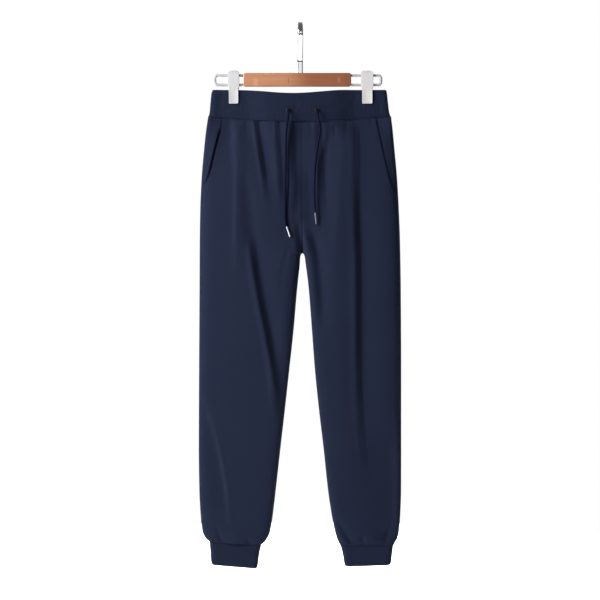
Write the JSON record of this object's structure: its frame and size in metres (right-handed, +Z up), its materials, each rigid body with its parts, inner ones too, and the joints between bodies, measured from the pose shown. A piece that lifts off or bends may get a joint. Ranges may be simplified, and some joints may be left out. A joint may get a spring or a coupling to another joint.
{
  "type": "jogger sweatpants on a clip hanger",
  "caption": "Cuffed jogger sweatpants with slanted pockets and a drawstring, hung flat by the waistband from a wooden clip hanger with a flat metal hook.",
  "frame": {"origin": "the point on the top of a rail that the inside of the hook bears on", "axes": "+X along the hanger to the wearer's left, -Y out of the front of the garment, +Z up"},
  "size_m": [0.425, 0.0579, 1.146],
  "materials": {
    "terry": "navy cotton terry, matt",
    "rib": "navy elasticated rib, matt",
    "cord": "dark navy braided cord",
    "silver": "polished crimped tip",
    "gunmetal": "gunmetal plated",
    "chrome": "bright chrome",
    "wood": "satin varnish",
    "plastic": "white, semi-gloss"
  },
  "bodies": {
    "root": {"waistband": "rib", "front_left": "terry", "front_right": "terry", "back_left": "terry", "back_right": "terry", "pocket_facing_left": "terry", "pocket_facing_right": "terry", "cuff_left": "rib", "cuff_right": "rib", "eyelet_left": "gunmetal", "eyelet_right": "gunmetal", "drawstring_left": "cord", "drawstring_right": "cord", "aglet_left": "silver", "aglet_right": "silver", "hanger_bar": "wood", "hanger_hook": "chrome", "hanger_wire_left": "chrome", "hanger_wire_right": "chrome", "hanger_clip_left": "plastic", "hanger_clip_right": "plastic"}
  },
  "joints": []
}
